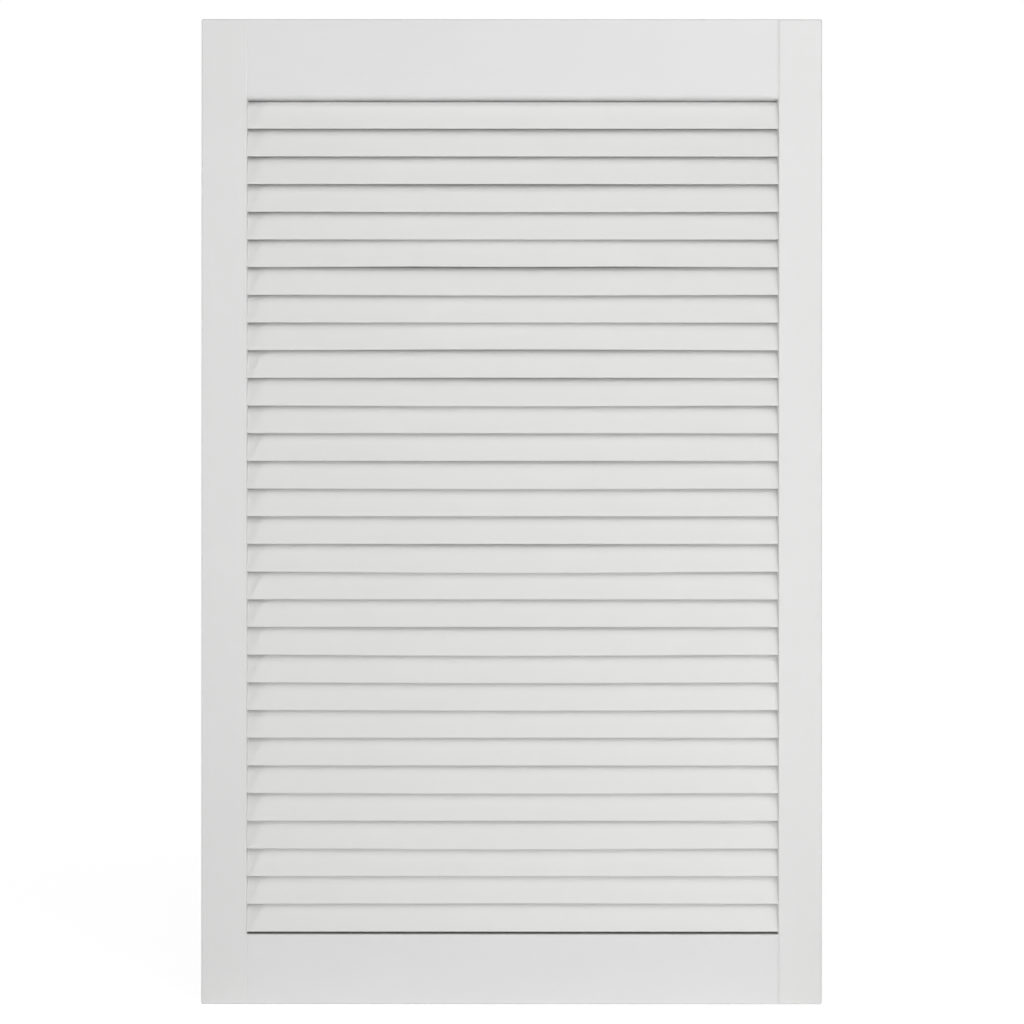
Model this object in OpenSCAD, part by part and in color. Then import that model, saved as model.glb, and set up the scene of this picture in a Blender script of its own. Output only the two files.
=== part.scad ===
// Louvred cabinet door: two full-height stiles, two rails dowelled between them, and a column of
// leaning slats let into slanted stopped housings in the stiles.
// X runs across the door, Y through it from front to back, and Z up. The origin is the middle of
// the bottom edge. All lengths are millimetres.

/* [Door] */
// Width over both stiles
door_w = 594; // [440:1:800]
// Height
door_h = 943; // [500:1:1300]
// Thickness of the stiles and rails
door_t = 21; // [19:0.5:28]

/* [Frame] */
// Width of the left stile
left_stile_w = 43.5; // [34:0.5:80]
// Width of the right stile, which is trimmed to fit the cupboard
right_stile_w = 41.5; // [34:0.5:80]
// Width of the top rail
top_rail_w = 76; // [50:1:140]
// Width of the bottom rail
bottom_rail_w = 67; // [50:1:140]
// Rounding of the stiles' arrises beside the slats, which stop at the rails
stile_arris_r = 1.25; // [0.5:0.25:2]
// Rounding of the top rail's lower arrises
top_arris_r = 3.5; // [0.5:0.25:4]
// Rounding of the bottom rail's upper arrises
bottom_arris_r = 1; // [0.5:0.25:4]
// Rounding of the arrises round the outside of the door
outer_arris_r = 1.5; // [0.5:0.25:4]
// Rounding of the door's four corners, seen from the front
corner_r = 2; // [0.5:0.25:6]
// Width of the vee where the paint sinks into the joint between a rail and a stile
joint_vee_w = 2; // [1:0.25:4]
// Depth of the vee in the left stile's joints
left_vee_depth = 0.3; // [0.2:0.1:1]
// Depth of the vee in the right stile's joints
right_vee_depth = 0.7; // [0.2:0.1:1]

/* [Slats] */
// Width of a slat across its grain
slat_w = 32; // [28:0.5:38]
// Thickness of a slat
slat_t = 6; // [5:0.5:7]
// Rounding of a slat's two sharper arrises: the front one of its nose and the back one of its top
slat_nose_r = 0.8; // [0.4:0.1:1.5]
// Radius of the wide round that thins a slat's top from the front and its nose from behind
slat_round_r = 8.5; // [6:0.5:12]
// Lean of a slat's top edge towards the back, in degrees from upright
slat_lean = 18; // [12:1:24]
// Least height by which the nose of a slat covers the slat below it
slat_cover = 2; // [0.5:0.1:4]
// Depth of the slats' noses behind the face of the door
slat_recess = 2.2; // [1.5:0.1:4]
// Gap between the nose of the lowest slat and the bottom rail
nose_gap = 2.1; // [0.5:0.1:4]
// Gap between the top slat and the top rail
top_gap = 0.9; // [0.5:0.1:4]

/* [Housings] */
// Depth of a slat's housing in the stile
housing_depth = 8; // [5:0.5:14]
// Clearance all round a slat in its housing
housing_fit = 0.15; // [0.05:0.05:0.2]
// Gap between a slat's end and the bottom of its housing
housing_end_gap = 0.5; // [0.2:0.1:1.5]

/* [Dowels] */
// Diameter of a dowel
dowel_d = 8; // [6:1:10]
// Length of a dowel
dowel_len = 40; // [30:5:50]
// Distance from a rail's long edge to the dowel beside it
dowel_inset = 18; // [13:1:20]
// Radial clearance of a dowel in its bore
dowel_fit = 0.05; // [0.02:0.01:0.1]
// Gap between a dowel's end and the bottom of its bore
dowel_end_gap = 1; // [0.5:0.5:2]
// Chamfer on a dowel's ends
dowel_chamfer = 1; // [0.5:0.25:1.5]
// Number of glue flutes along a dowel
flute_count = 16; // [8:1:20]
// Diameter of the cutter that makes a flute
flute_d = 0.8; // [0.4:0.1:1]

/* [Hidden] */
$fn = 64;
// Reach of a cut beyond the face that it opens
cut_over = 1;
// How far a slat's sharper arris stands proud of its wide round, so that the two cross cleanly
arris_proud = 0.01;

// The opening between the stiles and rails
opening_left = left_stile_w - door_w / 2;
opening_right = door_w / 2 - right_stile_w;
opening_w = opening_right - opening_left;
opening_bottom = bottom_rail_w;
opening_top = door_h - top_rail_w;

// A slat's section, upright about its own middle, with X through it and Y along its width. Its
// sharper arris is round the point (tip_x, tip_y), and its wide round about (round_x, round_y)
tip_x = slat_t / 2 - slat_nose_r;
tip_y = slat_w / 2 - slat_nose_r;
round_x = slat_round_r - slat_t / 2;
tip_to_round = slat_round_r - slat_nose_r + arris_proud;
round_y = tip_y - sqrt(pow(tip_to_round, 2) - pow(round_x - tip_x, 2));

// The section's height and depth as it leans, and the place of its middle through the door
tip_rise = tip_y * cos(slat_lean) - tip_x * sin(slat_lean) + slat_nose_r;
round_rise = round_y * cos(slat_lean) - round_x * sin(slat_lean) + slat_round_r;
round_is_top = atan2(tip_y - round_y, tip_x - round_x) < 90 + slat_lean;
slat_rise = 2 * (round_is_top ? round_rise : tip_rise);
slat_depth = 2 * (tip_y * sin(slat_lean) + tip_x * cos(slat_lean) + slat_nose_r);
slat_y = slat_recess + (slat_depth - door_t) / 2;

// The column: as many slats as keep the louvre closed, spread evenly
column_h = opening_top - opening_bottom - 2 * nose_gap;
slat_count = ceil(column_h / (slat_rise - slat_cover));
slat_pitch = column_h / slat_count;
slat_len = opening_w + 2 * (housing_depth - housing_end_gap);

// The top slat is ripped square to its width at ripped_y, so that its top, ripped_rise above its
// middle, leaves top_gap under the rail. The cut meets either its flat face or its wide round
ripped_rise = slat_pitch + nose_gap - top_gap - slat_rise / 2;
ripped_flat_y = (ripped_rise - slat_t / 2 * sin(slat_lean)) / cos(slat_lean);
ripped_sine = (ripped_rise - round_y * cos(slat_lean) + round_x * sin(slat_lean)) / slat_round_r;
ripped_round_y = round_y + slat_round_r * cos(slat_lean + acos(max(-1, min(1, ripped_sine))));
ripped_y = ripped_flat_y <= round_y ? ripped_flat_y : ripped_round_y;

paint = [0.88, 0.88, 0.87];
beech = [0.80, 0.66, 0.47];

SIDES = ["left", "right"];
RAILS = ["top", "bottom"];
PLACES = ["upper", "lower"];

function slat_name(n) = str("slat_", n < 10 ? "0" : "", n);
function dowel_name(rail, side, place) = str("dowel_", rail, "_", side, "_", place);

// Height of the middle of slat n, counted from the top
function slat_z(n) = opening_bottom + nose_gap + slat_rise / 2 + (slat_count - n) * slat_pitch;

// A rail's lower and upper edges, and the height of a dowel's axis
function rail_low(rail) = rail == "top" ? opening_top : 0;
function rail_high(rail) = rail == "top" ? door_h : opening_bottom;
function dowel_z(rail, place) =
    place == "upper" ? rail_high(rail) - dowel_inset : rail_low(rail) + dowel_inset;

// The plane in which a stile and the rails meet, and the depth of the vee there
function joint_x(side) = side == "left" ? opening_left : opening_right;
function vee_depth(side) = side == "left" ? left_vee_depth : right_vee_depth;

// A rectangle from the origin, with its two left corners rounded
module left_eased(w, h, r) {
    translate([r, 0]) square([w - r, h]);
    translate([0, r]) square([w, h - 2 * r]);
    for (y = [r, h - r]) translate([r, y]) circle(r);
}

// A rectangle from the origin, with its left corners rounded by r_left and its right by r_right
module eased(w, h, r_left, r_right) {
    left_eased(w / 2, h, r_left);
    translate([w, 0]) mirror([1, 0]) left_eased(w / 2, h, r_right);
}

// Runs a profile drawn in Y and Z along X
module run_across(length) {
    rotate([90, 0, 90]) linear_extrude(length) children();
}

// The cutter that rounds off a stile's front arris at X = w and Y = -door_t / 2
module arris_cut(w) {
    r = stile_arris_r;
    translate([w - r, -door_t / 2, opening_bottom])
        linear_extrude(opening_top - opening_bottom) difference() {
            translate([0, -cut_over]) square(r + cut_over);
            translate([0, r]) circle(r);
        }
}

// A stile's bar, from its outer edge at X = 0 to the joint plane at X = w
module stile_bar(w) {
    difference() {
        intersection() {
            translate([0, -door_t / 2, 0])
                linear_extrude(door_h) left_eased(w, door_t, outer_arris_r);
            translate([0, door_t / 2, 0])
                rotate([90, 0, 0]) linear_extrude(door_t) left_eased(w, door_h, corner_r);
            translate([0, -door_t / 2, 0])
                run_across(w) eased(door_t, door_h, outer_arris_r, outer_arris_r);
        }
        for (back = [0, 1]) mirror([0, back, 0]) arris_cut(w);
    }
}

// The vees along one side's joints, in the front and the back of the door
module joint_vees(side) {
    half = joint_vee_w / 2;
    for (rail = RAILS, back = [0, 1]) mirror([0, back, 0])
        translate([joint_x(side), -door_t / 2, rail == "top" ? opening_top : -cut_over])
            linear_extrude(rail_high(rail) - rail_low(rail) + cut_over)
                polygon([[0, -cut_over], [half, 0], [0, vee_depth(side)], [-half, 0]]);
}

// The upper half of a slat's section, upright and grown all round by grow. The wide round ends
// inside the sharper arris, on the line from tip to beyond
module half_section(grow) {
    face = slat_t / 2 + grow;
    clear = 2 * face;
    tip = [tip_x, tip_y];
    tip_r = slat_nose_r + grow;
    beyond = tip + (tip - [round_x, round_y]) * 2 * tip_r / tip_to_round;
    translate([-face, 0]) square([2 * face, round_y]);
    translate([tip_x, round_y]) square([face - tip_x, tip_y - round_y]);
    translate(tip) circle(tip_r);
    intersection() {
        translate([round_x, round_y]) circle(slat_round_r + grow);
        polygon([[-clear, round_y], [tip_x, round_y], tip, beyond, [-clear, beyond[1]]]);
    }
}

// A slat's section as it leans, grown all round by grow. The ripped one ends square at its top
module slat_section(ripped, grow = 0) {
    rotate(-slat_lean) difference() {
        for (turn = [0, 180]) rotate(turn) half_section(grow);
        if (ripped) translate([-slat_w / 2, ripped_y + grow]) square(slat_w);
    }
}

// The cutter for one housing, from its bottom at X = 0 to past the stile's face
module housing_cut(ripped) {
    run_across(housing_depth + cut_over) slat_section(ripped, housing_fit);
}

// The cutters for all the housings of one side, with X = 0 at the joint plane and the stile at -X
module housing_cuts() {
    for (n = [1 : slat_count])
        translate([-housing_depth, slat_y, slat_z(n)]) housing_cut(n == 1);
}

// The cutter for one dowel bore, centred on the joint plane and as deep on both sides
module dowel_bore() {
    depth = dowel_len / 2 + dowel_end_gap;
    rotate([0, 90, 0]) cylinder(r = dowel_d / 2 + dowel_fit, h = 2 * depth, center = true);
}

module dowel_bores(rail, side) {
    for (place = PLACES) translate([joint_x(side), 0, dowel_z(rail, place)]) dowel_bore();
}

module left_stile() {
    color(paint) difference() {
        translate([-door_w / 2, 0, 0]) stile_bar(left_stile_w);
        translate([opening_left, 0, 0]) housing_cuts();
        for (rail = RAILS) dowel_bores(rail, "left");
        joint_vees("left");
    }
}

module right_stile() {
    color(paint) difference() {
        translate([door_w / 2, 0, 0]) mirror([1, 0, 0]) stile_bar(right_stile_w);
        translate([opening_right, 0, 0]) mirror([1, 0, 0]) housing_cuts();
        for (rail = RAILS) dowel_bores(rail, "right");
        joint_vees("right");
    }
}

// A rail's section has its outer edge at Z = 0 and its slat edge at Z = w, rounded by r
module rail_section(w, r) {
    translate([door_t / 2, 0]) rotate(90) eased(w, door_t, outer_arris_r, r);
}

module top_rail() {
    color(paint) difference() {
        translate([opening_left, 0, door_h])
            run_across(opening_w) mirror([0, 1]) rail_section(top_rail_w, top_arris_r);
        for (side = SIDES) {
            dowel_bores("top", side);
            joint_vees(side);
        }
    }
}

module bottom_rail() {
    color(paint) difference() {
        translate([opening_left, 0, 0])
            run_across(opening_w) rail_section(bottom_rail_w, bottom_arris_r);
        for (side = SIDES) {
            dowel_bores("bottom", side);
            joint_vees(side);
        }
    }
}

module slat(n) {
    color(paint) translate([opening_left - housing_depth + housing_end_gap, slat_y, slat_z(n)])
        run_across(slat_len) slat_section(n == 1);
}

// A fluted dowel along Z, centred on the origin
module fluted_dowel() {
    r = dowel_d / 2;
    straight = dowel_len - 2 * dowel_chamfer;
    difference() {
        union() {
            cylinder(r = r, h = straight, center = true);
            for (end = [0, 1]) mirror([0, 0, end]) translate([0, 0, straight / 2])
                cylinder(r1 = r, r2 = r - dowel_chamfer, h = dowel_chamfer);
        }
        for (k = [1 : flute_count]) rotate(k * 360 / flute_count) translate([r, 0, 0])
            cylinder(d = flute_d, h = dowel_len + 2 * cut_over, center = true);
    }
}

module dowel(rail, side, place) {
    color(beech) translate([joint_x(side), 0, dowel_z(rail, place)])
        rotate([0, 90, 0]) fluted_dowel();
}

left_stile();
right_stile();
top_rail();
bottom_rail();
for (n = [1 : slat_count])
    slat(n);
for (rail = RAILS, side = SIDES, place = PLACES)
    dowel(rail, side, place);
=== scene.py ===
import math

import bmesh
import bpy
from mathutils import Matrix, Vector


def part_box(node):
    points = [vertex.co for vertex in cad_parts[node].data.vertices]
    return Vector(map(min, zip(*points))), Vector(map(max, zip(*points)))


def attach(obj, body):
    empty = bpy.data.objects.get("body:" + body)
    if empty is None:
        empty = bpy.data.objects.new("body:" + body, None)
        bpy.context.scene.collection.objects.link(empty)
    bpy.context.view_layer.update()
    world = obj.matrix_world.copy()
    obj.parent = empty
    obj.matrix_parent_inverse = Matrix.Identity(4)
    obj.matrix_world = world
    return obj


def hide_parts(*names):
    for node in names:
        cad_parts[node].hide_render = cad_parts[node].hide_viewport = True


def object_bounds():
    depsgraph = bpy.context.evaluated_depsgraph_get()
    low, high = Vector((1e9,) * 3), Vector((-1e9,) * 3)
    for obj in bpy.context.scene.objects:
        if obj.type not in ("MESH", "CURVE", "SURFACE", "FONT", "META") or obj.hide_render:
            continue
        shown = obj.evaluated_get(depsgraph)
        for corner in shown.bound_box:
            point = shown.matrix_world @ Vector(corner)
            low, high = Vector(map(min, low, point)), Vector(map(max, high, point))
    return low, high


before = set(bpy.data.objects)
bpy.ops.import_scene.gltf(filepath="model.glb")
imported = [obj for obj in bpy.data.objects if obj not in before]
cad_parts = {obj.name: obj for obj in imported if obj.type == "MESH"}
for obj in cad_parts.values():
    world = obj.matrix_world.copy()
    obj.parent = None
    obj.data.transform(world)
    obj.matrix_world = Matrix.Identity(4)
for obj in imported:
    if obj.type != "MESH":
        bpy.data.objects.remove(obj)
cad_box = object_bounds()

MM = 0.001

# The photograph's framing, in pixels of its square frame: the door's outer edges, and how far the camera
# stands from the door's front
FRAME_PX = 1024
PHOTO_LEFT, PHOTO_RIGHT = 201.3, 822.05
PHOTO_TOP, PHOTO_BOTTOM = 18.85, 1004.7
CAMERA_DISTANCE_PX = 2250
CAMERA_ROLL = math.radians(-0.02)
SENSOR_MM = 36
CLIP_NEAR, CLIP_FAR = 0.1, 100

# The door, from the frame
door_low, door_high = cad_box
middle = (door_low + door_high) / 2
front_y = door_low.y
opening_low, opening_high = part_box("bottom_rail")[1].z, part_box("top_rail")[0].z
right_joint_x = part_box("top_rail")[1].x
metres_per_px = (door_high.x - door_low.x) / (PHOTO_RIGHT - PHOTO_LEFT)

# The lamps are soft boxes on one rig that turns with the camera, as in a turntable shot. Each stands so far
# right of the door's middle, in front of its face and above its middle, in metres. Then come its width and
# height in metres, and its power in watts
LAMPS = {
    "middle": ((0, 2.4, 0.3), (0.55, 0.55), 3.8),
    "middle_low": ((0, 2.4, -0.33), (0.55, 0.24), 3),
    "right_low": ((0.87, 2.4, -0.33), (0.55, 0.24), 3.9),
    "right_high": ((0.87, 2.4, 1.2), (0.55, 0.55), 10.7),
    "far_right_low": ((2.0, 2.4, -0.33), (0.55, 0.24), 7.5),
    "far_right_high": ((2.0, 2.4, 1.2), (0.55, 0.55), 4.4),
    "overhead": ((0, 2.4, 2.6), (0.55, 0.55), 12.8),
    "side_left": ((-3.6, 2.0, -0.25), (0.55, 0.34), 38),
    "side_right": ((3.6, 2.0, -0.25), (0.55, 0.34), 8.8),
    "right_foot": ((0.6, 0.6, -0.42), (0.3, 0.08), 0.31),
}

# The room's own light before and behind the door, and how near the door's plane one turns into the other
ROOM_FRONT, ROOM_BACK = 0.195, 0.03
ROOM_TURN = 0.1

# The pale floor. FLOOR_COLOUR is what throws light up at the door. The camera sees the floor's glow and the
# lamps' light on FLOOR_SHADE, which keeps the door's shadow. That fades into plain white between two
# distances from the door's foot, in metres
FLOOR_REACH = 4.0
FLOOR_COLOUR, FLOOR_SHADE, FLOOR_GLOW = 0.88, 0.25, 0.94
FLOOR_FADE_FROM, FLOOR_FADE_TO = 0.25, 1.5

# The white paint: its colour on each part of the door. Then the shares by which its drifting thickness, the
# grain and a painted shade line at the right joint change that colour, and that line's reach to each side.
# The line is shade painted into the crease where the right stile meets the rails, on the side turned away
# from the main lamps. Then its gloss, and the relief of the grain and of the spray's peel
STILE_WHITE, RAIL_WHITE, SLAT_WHITE = (0.797, 0.803, 0.794), (0.802, 0.803, 0.803), (0.801, 0.803, 0.791)
DRIFT_SHADE, GRAIN_SHADE, PAINTED_JOINT_SHADE = 0.02, 0.012, 0.06
PAINTED_SHADE_REACH = 2.4 * MM
PAINT_ROUGHNESS, PEEL_ROUGHNESS, PAINT_IOR = 0.42, 0.12, 1.48
GRAIN_RELIEF, PEEL_RELIEF = 0.02 * MM, 0.012 * MM

# Bare beech: its colour in a fleck and between flecks, and the flecks' relief
FLECK_BROWN, BEECH_BROWN = (0.36, 0.20, 0.10, 1), (0.66, 0.45, 0.26, 1)
FLECK_RELIEF = 0.05 * MM
BEECH_ROUGHNESS = 0.7

# Slats whose middles have bowed as the wood dried, by their number from the top: forward and up, in
# millimetres. Each is welded from its node's loose triangles, its flat faces are merged, and it is divided
# into BOW_SPANS along its length. Edges sharper than SHARP_ANGLE stay crisp
BOWED_SLATS = {
    1: (0.3, 0), 3: (0.5, 0), 4: (-0.3, -0.3), 6: (1.3, 0.8), 7: (-0.2, -0.6), 9: (1.2, 0.7),
    10: (0.4, 0.2), 11: (-0.7, -0.7), 12: (-0.3, 0), 14: (0, -0.6), 17: (0, -1.3), 20: (0, -1.1),
    21: (0, -0.8), 22: (0, -0.5), 25: (0, -0.5), 27: (0, -0.9), 29: (0, 0.5),
}
BOW_SPANS = 12
WELD = 0.001 * MM
FLAT_ANGLE, SHARP_ANGLE = math.radians(0.1), math.radians(30)


class Socket:
    """One shader output. Arithmetic on it adds Math nodes."""

    def __init__(self, shader, socket):
        self.shader = shader
        self.socket = socket

    def math(self, operation, *operands):
        return self.shader.node("ShaderNodeMath", {"operation": operation}, dict(enumerate(operands)))

    def __add__(self, other):
        return self.math("ADD", self, other)

    def __radd__(self, other):
        return self.math("ADD", other, self)

    def __sub__(self, other):
        return self.math("SUBTRACT", self, other)

    def __rsub__(self, other):
        return self.math("SUBTRACT", other, self)

    def __mul__(self, other):
        return self.math("MULTIPLY", self, other)

    def __rmul__(self, other):
        return self.math("MULTIPLY", other, self)

    def __abs__(self):
        return self.math("ABSOLUTE", self)


class Shader:
    """Builds the nodes of a material or of the world."""

    def __init__(self, holder):
        holder.use_nodes = True
        self.tree = holder.node_tree
        self.tree.nodes.clear()

    def node(self, kind, settings=None, inputs=None, output=0):
        """Adds a node, sets it up, feeds its inputs and gives back one of its outputs."""
        made = self.tree.nodes.new(kind)
        for name, value in (settings or {}).items():
            setattr(made, name, value)
        for name, value in (inputs or {}).items():
            if isinstance(value, Socket):
                self.tree.links.new(value.socket, made.inputs[name])
            else:
                made.inputs[name].default_value = value
        return Socket(self, made.outputs[output]) if made.outputs else made

    def place(self):
        """Where a point lies on the door."""
        return self.node("ShaderNodeTexCoord", output="Object")

    def part(self, vector, axis):
        """A vector's X, Y or Z."""
        return self.node("ShaderNodeSeparateXYZ", inputs={"Vector": vector}, output=axis)

    def noise(self, vector, scale, detail, roughness=0.5):
        """Random drift about 0.5, whose patches are about 1 m over scale wide."""
        return self.node("ShaderNodeTexNoise", inputs={
            "Vector": vector, "Scale": scale, "Detail": detail, "Roughness": roughness})

    def stretched_noise(self, vector, scales, detail, roughness):
        """Noise whose scale differs along X, Y and Z."""
        stretched = self.node("ShaderNodeMapping", inputs={"Vector": vector, "Scale": scales})
        return self.noise(stretched, 1, detail, roughness)

    def relief(self, height):
        """The normal of a surface with this height, in metres."""
        return self.node("ShaderNodeBump", inputs={"Strength": 1, "Distance": 1, "Height": height})

    def ramp(self, value, low, high):
        """0 below low, 1 above high, and smooth between."""
        return self.node("ShaderNodeMapRange", {"interpolation_type": "SMOOTHSTEP"},
                         {"Value": value, "From Min": low, "From Max": high})

    def mix(self, share, first, second):
        """The first shader where share is 0, and the second where it is 1."""
        return self.node("ShaderNodeMixShader", inputs={0: share, 1: first, 2: second})


def grey(level):
    return (level, level, level, 1)


def painted_joint_shade(s, place):
    """Painted shade: 1 in the crease where the right stile meets the rails, and 0 elsewhere."""
    from_joint = abs(s.part(place, "X") - right_joint_x)
    from_middle = abs(s.part(place, "Z") - (opening_low + opening_high) / 2)
    half_opening = (opening_high - opening_low) / 2
    beside_rails = s.ramp(from_middle, half_opening, half_opening + MM)
    return (1 - s.ramp(from_joint, 0, PAINTED_SHADE_REACH)) * beside_rails


def white_paint(name, colour, grain_axis):
    """Satin paint over planed softwood, whose grain runs along grain_axis and just shows through."""
    material = bpy.data.materials.new(name)
    s = Shader(material)
    place = s.place()

    # Grain lines about 1 mm across and 120 mm long
    across, along = 900, 8
    scales = [across] * 3
    scales["xyz".index(grain_axis)] = along
    grain = s.stretched_noise(place, scales, detail=3, roughness=0.6)

    # The spray's fine peel, and slow drifts in how thickly the paint lies
    peel = s.noise(place, scale=700, detail=2)
    drift = s.noise(place, scale=9, detail=3)

    # The last term darkens the colour with painted shade in the right joint's crease
    shade = 1 + (drift - 0.5) * DRIFT_SHADE + (grain - 0.5) * GRAIN_SHADE - painted_joint_shade(s, place) * PAINTED_JOINT_SHADE
    base = s.node("ShaderNodeVectorMath", {"operation": "SCALE"}, {0: colour, "Scale": shade})
    surface = s.node("ShaderNodeBsdfPrincipled", inputs={
        "Base Color": base, "Roughness": PAINT_ROUGHNESS + (peel - 0.5) * PEEL_ROUGHNESS,
        "Normal": s.relief(grain * GRAIN_RELIEF + peel * PEEL_RELIEF), "IOR": PAINT_IOR})
    s.node("ShaderNodeOutputMaterial", inputs={"Surface": surface})
    return material


def beech(name):
    """Bare beech, with short dark flecks along the dowel."""
    material = bpy.data.materials.new(name)
    s = Shader(material)
    # Flecks about 0.5 mm across and 6 mm long
    along, across = 160, 2200
    fleck = s.stretched_noise(s.place(), (along, across, across), detail=4, roughness=0.7)
    colour = s.node("ShaderNodeValToRGB", inputs={"Fac": fleck})
    dark, light = colour.socket.node.color_ramp.elements
    dark.position, dark.color = 0.35, FLECK_BROWN
    light.position, light.color = 0.60, BEECH_BROWN
    surface = s.node("ShaderNodeBsdfPrincipled", inputs={
        "Base Color": colour, "Roughness": BEECH_ROUGHNESS, "Normal": s.relief(fleck * FLECK_RELIEF)})
    s.node("ShaderNodeOutputMaterial", inputs={"Surface": surface})
    return material


def bowed_slat(number, forward, up):
    """Stands in for one of the frame's slats. Its middle has bowed, and its ends stay in their housings."""
    node = f"slat_{number:02d}"
    low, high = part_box(node)
    length = high.x - low.x
    bm = bmesh.new()
    bm.from_mesh(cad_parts[node].data)
    bmesh.ops.remove_doubles(bm, verts=bm.verts, dist=WELD)
    bmesh.ops.dissolve_limit(bm, angle_limit=FLAT_ANGLE, verts=bm.verts, edges=bm.edges)
    for k in range(1, BOW_SPANS):
        bmesh.ops.bisect_plane(bm, geom=bm.verts[:] + bm.edges[:] + bm.faces[:],
                               plane_co=(low.x + length * k / BOW_SPANS, 0, 0), plane_no=(1, 0, 0))
    for vert in bm.verts:
        # From -1 at the left end to 1 at the right one. The bow leaves both ends straight
        along = 2 * (vert.co.x - low.x) / length - 1
        vert.co += Vector((0, -forward, up)) * (MM * (1 - along ** 2) ** 2)
    for face in bm.faces:
        face.smooth = True
    mesh = bpy.data.meshes.new(f"{node}_bowed")
    bm.to_mesh(mesh)
    bm.free()
    mesh.set_sharp_from_angle(angle=SHARP_ANGLE)
    piece = bpy.data.objects.new(f"{node}_bowed", mesh)
    bpy.context.scene.collection.objects.link(piece)
    piece.modifiers.new("even_faces", "WEIGHTED_NORMAL").keep_sharp = True
    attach(piece, "root")
    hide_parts(node)
    return piece


def finish_pieces(bowed):
    """Gives each piece of the door its paint, or its bare wood."""
    upright = white_paint("paint_stiles", STILE_WHITE, "z")
    level = white_paint("paint_rails", RAIL_WHITE, "x")
    slats = white_paint("paint_slats", SLAT_WHITE, "x")
    bare = beech("bare_beech")
    for name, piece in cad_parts.items():
        if name.endswith("_stile"):
            material = upright
        elif name.endswith("_rail"):
            material = level
        elif name.startswith("slat_"):
            material = slats
        else:
            material = bare
        piece.data.materials.clear()
        piece.data.materials.append(material)
    for piece in bowed:
        piece.data.materials.append(slats)


def make_camera():
    """Square on to the door, at the photograph's distance and framing."""
    shown_w = FRAME_PX * metres_per_px
    distance = CAMERA_DISTANCE_PX * metres_per_px
    data = bpy.data.cameras.new("camera")
    data.sensor_width = SENSOR_MM
    data.lens = SENSOR_MM * distance / shown_w
    data.clip_start, data.clip_end = CLIP_NEAR, CLIP_FAR
    camera = bpy.data.objects.new("camera", data)
    bpy.context.scene.collection.objects.link(camera)
    off_x = (FRAME_PX / 2 - (PHOTO_LEFT + PHOTO_RIGHT) / 2) * metres_per_px
    off_z = ((PHOTO_TOP + PHOTO_BOTTOM) / 2 - FRAME_PX / 2) * metres_per_px
    camera.location = (middle.x + off_x, front_y - distance, middle.z + off_z)
    camera.rotation_euler = (math.pi / 2, CAMERA_ROLL, 0)
    bpy.context.scene.camera = camera


def make_lamp_rig():
    """An empty at the middle of the door's front, which faces the camera from wherever it stands."""
    rig = bpy.data.objects.new("lamp_rig", None)
    rig.location = (middle.x, front_y, middle.z)
    bpy.context.scene.collection.objects.link(rig)
    facing = rig.constraints.new("TRACK_TO")
    facing.target = bpy.context.scene.camera
    facing.track_axis, facing.up_axis = "TRACK_NEGATIVE_Y", "UP_Z"
    return rig


def soft_box(rig, name, place, size, power):
    """A soft box on the rig, turned to the rig's middle."""
    right, ahead, up = place
    data = bpy.data.lights.new(name, "AREA")
    data.shape = "RECTANGLE"
    data.size, data.size_y = size
    data.energy = power
    lamp = bpy.data.objects.new(name, data)
    lamp.parent = rig
    lamp.location = (right, -ahead, up)
    lamp.rotation_euler = (-lamp.location).to_track_quat("-Z", "Y").to_euler()
    bpy.context.scene.collection.objects.link(lamp)


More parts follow.
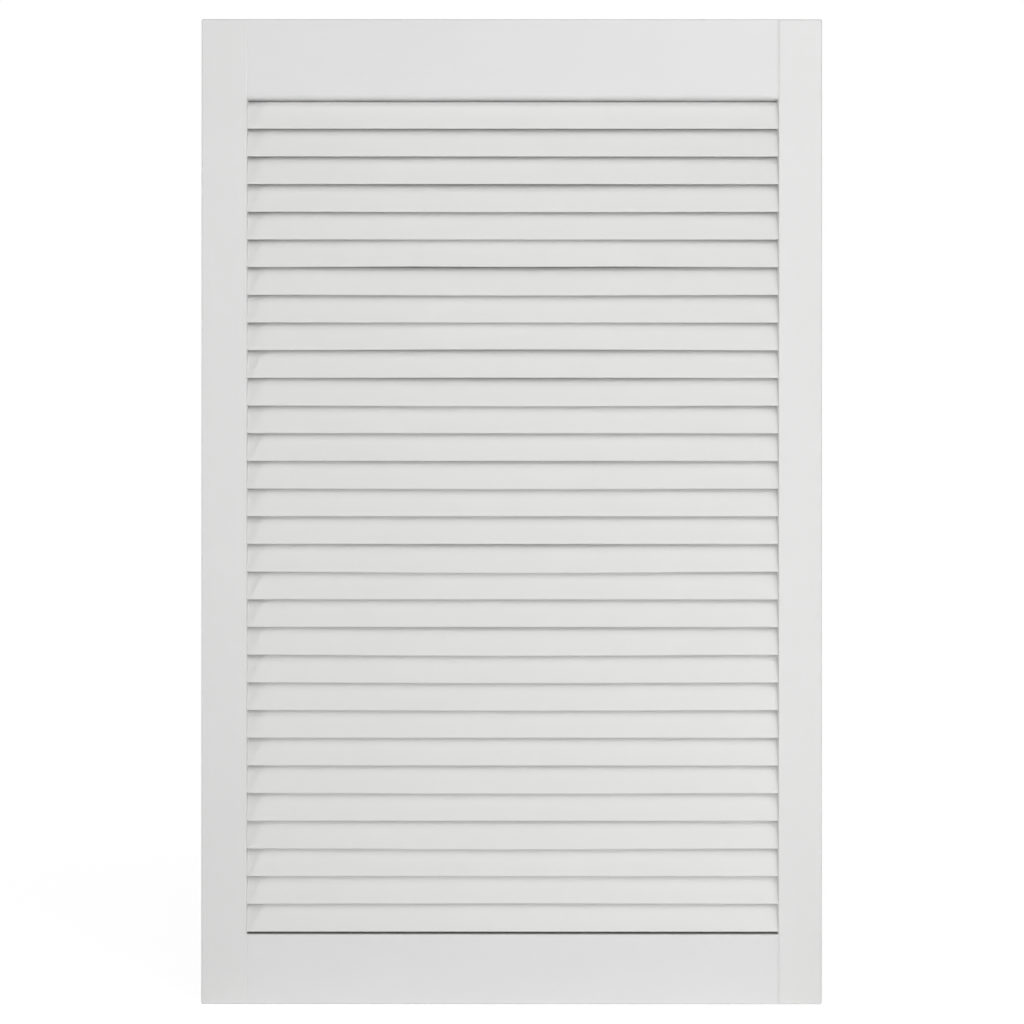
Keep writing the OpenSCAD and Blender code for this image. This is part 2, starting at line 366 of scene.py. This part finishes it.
def make_world():
    """Soft light from the room in front of the door, and little from behind it. The camera sees plain white
    past the door, and so does the paint where it mirrors the room in front."""
    world = bpy.data.worlds.new("studio")
    bpy.context.scene.world = world
    s = Shader(world)
    direction = s.node("ShaderNodeTexCoord", output="Generated")
    from_back = s.ramp(s.part(direction, "Y"), -ROOM_TURN, ROOM_TURN)
    strength = ROOM_FRONT + from_back * (ROOM_BACK - ROOM_FRONT)
    looked = s.node("ShaderNodeLightPath", output="Is Camera Ray")
    through = s.node("ShaderNodeLightPath", output="Is Transmission Ray")
    mirrored = s.node("ShaderNodeLightPath", output="Is Glossy Ray")
    seen = looked + through + mirrored * (1 - from_back)
    room = s.node("ShaderNodeBackground", inputs={"Color": grey(1), "Strength": strength})
    white = s.node("ShaderNodeBackground", inputs={"Color": grey(1), "Strength": 1})
    s.node("ShaderNodeOutputWorld", inputs={"Surface": s.mix(seen, room, white)})


def floor_material():
    """Pale to the lamps. The camera sees it white, with the door's faint shadow on it."""
    material = bpy.data.materials.new("pale_floor")
    s = Shader(material)
    from_foot = s.node("ShaderNodeVectorMath", {"operation": "LENGTH"}, {0: s.place()}, output="Value")
    faded = s.ramp(from_foot, FLOOR_FADE_FROM, FLOOR_FADE_TO)
    looked = s.node("ShaderNodeLightPath", output="Is Camera Ray")
    pale = s.node("ShaderNodeBsdfDiffuse", inputs={"Color": grey(FLOOR_COLOUR)})
    shade = s.node("ShaderNodeBsdfDiffuse", inputs={"Color": grey(FLOOR_SHADE)})
    glow = s.node("ShaderNodeEmission", inputs={"Color": grey(1), "Strength": FLOOR_GLOW})
    near = s.node("ShaderNodeAddShader", inputs={0: shade, 1: glow})
    white = s.node("ShaderNodeEmission", inputs={"Color": grey(1), "Strength": 1})
    shown = s.mix(faded, near, white)
    s.node("ShaderNodeOutputMaterial", inputs={"Surface": s.mix(looked, pale, shown)})
    return material


def make_floor():
    """A square of pale floor under the door."""
    mesh = bpy.data.meshes.new("floor")
    bm = bmesh.new()
    bmesh.ops.create_grid(bm, x_segments=1, y_segments=1, size=FLOOR_REACH)
    bm.to_mesh(mesh)
    bm.free()
    floor = bpy.data.objects.new("floor", mesh)
    bpy.context.scene.collection.objects.link(floor)
    mesh.materials.append(floor_material())


bpy.context.scene.view_settings.view_transform = "Standard"
make_camera()
lamp_rig = make_lamp_rig()
for lamp_name, lamp_facts in LAMPS.items():
    soft_box(lamp_rig, lamp_name, *lamp_facts)
make_world()
make_floor()
finish_pieces([bowed_slat(number, *bow) for number, bow in BOWED_SLATS.items()])
